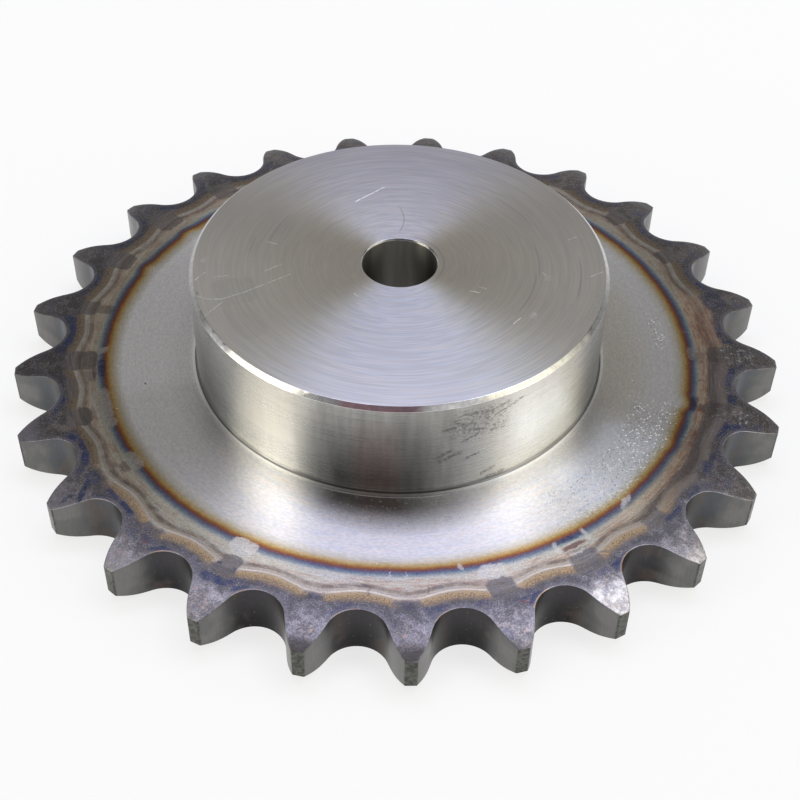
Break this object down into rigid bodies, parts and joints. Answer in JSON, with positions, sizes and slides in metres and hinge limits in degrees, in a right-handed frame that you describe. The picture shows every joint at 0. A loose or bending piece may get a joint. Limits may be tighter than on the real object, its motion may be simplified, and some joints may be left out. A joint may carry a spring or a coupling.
{
  "type": "chain sprocket",
  "caption": "Steel roller-chain sprocket: a flat toothed plate with hardened, heat-tinted teeth, a raised round hub on one side and a plain pilot bore.",
  "frame": {"origin": "axis of the bore, on the plate's plain back face", "axes": "+Z along the bore, from the back face towards the hub; +Y through the middle of a tooth gap"},
  "size_m": [0.2658, 0.2653, 0.055],
  "materials": {
    "sprocket_steel": "turned bright steel, with heat-tint colours and dark scale on the hardened teeth"
  },
  "bodies": {
    "root": {"sprocket": "sprocket_steel"}
  },
  "joints": []
}
